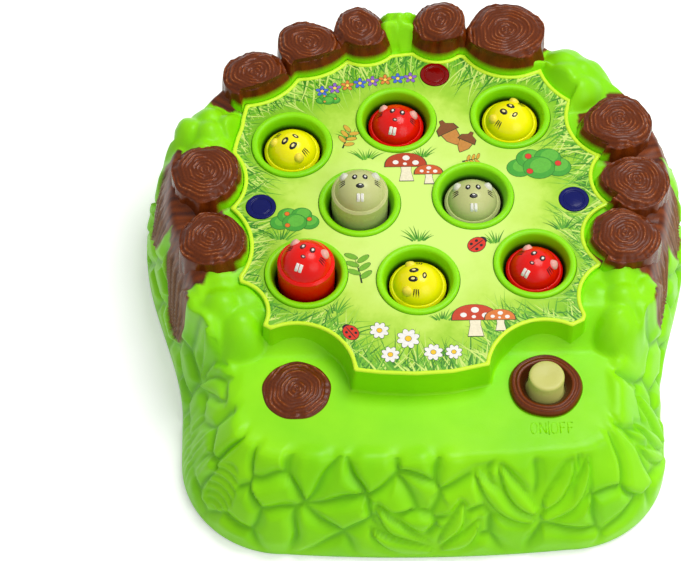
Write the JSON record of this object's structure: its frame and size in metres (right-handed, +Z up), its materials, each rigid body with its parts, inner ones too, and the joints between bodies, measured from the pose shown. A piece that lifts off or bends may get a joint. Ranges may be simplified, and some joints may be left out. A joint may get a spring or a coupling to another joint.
{
  "type": "whack-a-mole toy",
  "caption": "Table-top whack-a-mole toy: green moulded casing ringed with tree stumps, a printed play field with sprung moles in collared holes, lamp lenses and a power button.",
  "frame": {"origin": "on the table under the middle of the casing's outline", "axes": "+Z up, +X to the player's right, the player sits on the -Y side"},
  "size_m": [0.2831, 0.2949, 0.0879],
  "materials": {
    "shell_green": "satin gloss",
    "print_sheet": "printed film",
    "mole_yellow": "gloss",
    "mole_red": "gloss",
    "mole_khaki": "gloss",
    "lens_red": "translucent gloss",
    "lens_blue": "translucent gloss",
    "button_khaki": "satin",
    "clear_plastic": "clear",
    "ivory_plastic": "moulded",
    "orange_plastic": "moulded",
    "grey_plastic": "moulded",
    "black_plastic": "moulded",
    "board_green": "laminate",
    "rubber_black": "matt",
    "steel": "zinc plated",
    "speaker_metal": "plated",
    "motor_metal": "plated",
    "cell_jacket": "plain film jacket"
  },
  "bodies": {
    "casing": {"top_shell": "shell_green", "bottom_cover": "shell_green", "feet": "rubber_black", "casing_screws": "steel", "playfield_print": "print_sheet", "red_lens": "lens_red", "blue_lens_left": "lens_blue", "blue_lens_right": "lens_blue", "indicator_leds": "clear_plastic", "mechanism_plate": "ivory_plastic", "plate_screws": "steel", "main_board": "board_green", "board_screws": "steel", "hit_switches": "black_plastic", "speaker_frame": "speaker_metal", "speaker_cone": "black_plastic", "battery_cells": "cell_jacket", "battery_contacts": "steel", "gearbox_case": "grey_plastic", "motor_can": "motor_metal", "motor_screws": "steel", "disc_axle": "steel", "axle_clip": "steel", "catch_screws": "steel", "catch_springs": "steel", "switch_board": "board_green", "power_switch": "black_plastic", "switch_screws": "steel", "button_spring": "steel", "mole_spring_back_left": "steel", "mole_spring_back_middle": "steel", "mole_spring_back_right": "steel", "mole_spring_middle_left": "steel", "mole_spring_middle_right": "steel", "mole_spring_front_left": "steel", "mole_spring_front_middle": "steel", "mole_spring_front_right": "steel"},
    "mole_back_left": {"mole_back_left": "mole_yellow"},
    "mole_back_middle": {"mole_back_middle": "mole_red"},
    "mole_back_right": {"mole_back_right": "mole_yellow"},
    "mole_middle_left": {"mole_middle_left": "mole_khaki"},
    "mole_middle_right": {"mole_middle_right": "mole_khaki"},
    "mole_front_left": {"mole_front_left": "mole_red"},
    "mole_front_middle": {"mole_front_middle": "mole_yellow"},
    "mole_front_right": {"mole_front_right": "mole_red"},
    "catch_back_left": {"catch_back_left": "ivory_plastic"},
    "catch_back_middle": {"catch_back_middle": "ivory_plastic"},
    "catch_back_right": {"catch_back_right": "ivory_plastic"},
    "catch_middle_left": {"catch_middle_left": "ivory_plastic"},
    "catch_middle_right": {"catch_middle_right": "ivory_plastic"},
    "catch_front_left": {"catch_front_left": "ivory_plastic"},
    "catch_front_middle": {"catch_front_middle": "ivory_plastic"},
    "catch_front_right": {"catch_front_right": "ivory_plastic"},
    "trip_disc": {"trip_disc": "orange_plastic"},
    "drive_pinion": {"drive_pinion": "ivory_plastic", "motor_shaft": "steel"},
    "power_button": {"power_button": "button_khaki", "switch_plunger": "ivory_plastic"},
    "battery_door": {"battery_door": "shell_green", "door_screws": "steel"}
  },
  "joints": [
    {"name": "mole_back_left_slide", "type": "slide", "parent": "casing", "child": "mole_back_left", "axis": [0, 0, 1], "range_m": [0, 0.015], "deforming": ["mole_spring_back_left"]},
    {"name": "mole_back_middle_slide", "type": "slide", "parent": "casing", "child": "mole_back_middle", "axis": [0, 0, 1], "range_m": [0, 0.015], "deforming": ["mole_spring_back_middle"]},
    {"name": "mole_back_right_slide", "type": "slide", "parent": "casing", "child": "mole_back_right", "axis": [0, 0, 1], "range_m": [0, 0.015], "deforming": ["mole_spring_back_right"]},
    {"name": "mole_middle_left_slide", "type": "slide", "parent": "casing", "child": "mole_middle_left", "axis": [0, 0, 1], "range_m": [-0.015, 0], "stiffness_N_per_m": 40, "springref_m": 0.02, "deforming": ["mole_spring_middle_left"]},
    {"name": "mole_middle_right_slide", "type": "slide", "parent": "casing", "child": "mole_middle_right", "axis": [0, 0, 1], "range_m": [0, 0.015], "deforming": ["mole_spring_middle_right"]},
    {"name": "mole_front_left_slide", "type": "slide", "parent": "casing", "child": "mole_front_left", "axis": [0, 0, 1], "range_m": [-0.015, 0], "stiffness_N_per_m": 40, "springref_m": 0.02, "deforming": ["mole_spring_front_left"]},
    {"name": "mole_front_middle_slide", "type": "slide", "parent": "casing", "child": "mole_front_middle", "axis": [0, 0, 1], "range_m": [0, 0.015], "deforming": ["mole_spring_front_middle"]},
    {"name": "mole_front_right_slide", "type": "slide", "parent": "casing", "child": "mole_front_right", "axis": [0, 0, 1], "range_m": [0, 0.015], "deforming": ["mole_spring_front_right"]},
    {"name": "catch_back_left_swing", "type": "hinge", "parent": "casing", "child": "catch_back_left", "pos_m": [-0.04235, 0.03759, 0.0177], "axis": [0, 0, 1], "range_deg": [-2.54, 1.27], "stiffness_Nm_per_rad": 0.002},
    {"name": "catch_back_middle_swing", "type": "hinge", "parent": "casing", "child": "catch_back_middle", "pos_m": [-0.01271, 0.05296, 0.0177], "axis": [0, 0, 1], "range_deg": [-4.02, 2.01], "stiffness_Nm_per_rad": 0.002},
    {"name": "catch_back_right_swing", "type": "hinge", "parent": "casing", "child": "catch_back_right", "pos_m": [0.02504, 0.05658, 0.0177], "axis": [0, 0, 1], "range_deg": [-2.52, 1.26], "stiffness_Nm_per_rad": 0.002},
    {"name": "catch_middle_left_swing", "type": "hinge", "parent": "casing", "child": "catch_middle_left", "pos_m": [-0.02321, 0.0141, 0.0177], "axis": [0, 0, 1], "range_deg": [-11.1, 5.55], "stiffness_Nm_per_rad": 0.002},
    {"name": "catch_middle_right_swing", "type": "hinge", "parent": "casing", "child": "catch_middle_right", "pos_m": [0.02036, 0.02827, 0.0177], "axis": [0, 0, 1], "range_deg": [-10.66, 5.33], "stiffness_Nm_per_rad": 0.002},
    {"name": "catch_front_left_swing", "type": "hinge", "parent": "casing", "child": "catch_front_left", "pos_m": [-0.03206, -0.01033, 0.0177], "axis": [0, 0, 1], "range_deg": [-2.57, 1.29], "stiffness_Nm_per_rad": 0.002},
    {"name": "catch_front_middle_swing", "type": "hinge", "parent": "casing", "child": "catch_front_middle", "pos_m": [0.00392, -0.01108, 0.0177], "axis": [0, 0, 1], "range_deg": [-4.35, 2.18], "stiffness_Nm_per_rad": 0.002},
    {"name": "catch_front_right_swing", "type": "hinge", "parent": "casing", "child": "catch_front_right", "pos_m": [0.03716, 0.00132, 0.0177], "axis": [0, 0, 1], "range_deg": [-2.61, 1.3], "stiffness_Nm_per_rad": 0.002},
    {"name": "trip_disc_spin", "type": "hinge", "parent": "casing", "child": "trip_disc", "pos_m": [-0.0015, 0.021, 0.0219], "axis": [0, 0, 1], "continuous": true},
    {"name": "drive_pinion_spin", "type": "hinge", "parent": "casing", "child": "drive_pinion", "pos_m": [-0.0015, 0.041, 0.0219], "axis": [0, 0, 1], "continuous": true},
    {"name": "power_button_press", "type": "slide", "parent": "casing", "child": "power_button", "axis": [0, 0, 1], "range_m": [-0.003, 0], "stiffness_N_per_m": 250, "springref_m": 0.004, "deforming": ["button_spring"]},
    {"name": "battery_door_pull", "type": "slide", "parent": "casing", "child": "battery_door", "axis": [0, 0, -1], "range_m": [0, 0.03]}
  ],
  "couplings": [
    {"joint": "drive_pinion_spin", "follows": "trip_disc_spin", "ratio": -3.1667}
  ]
}
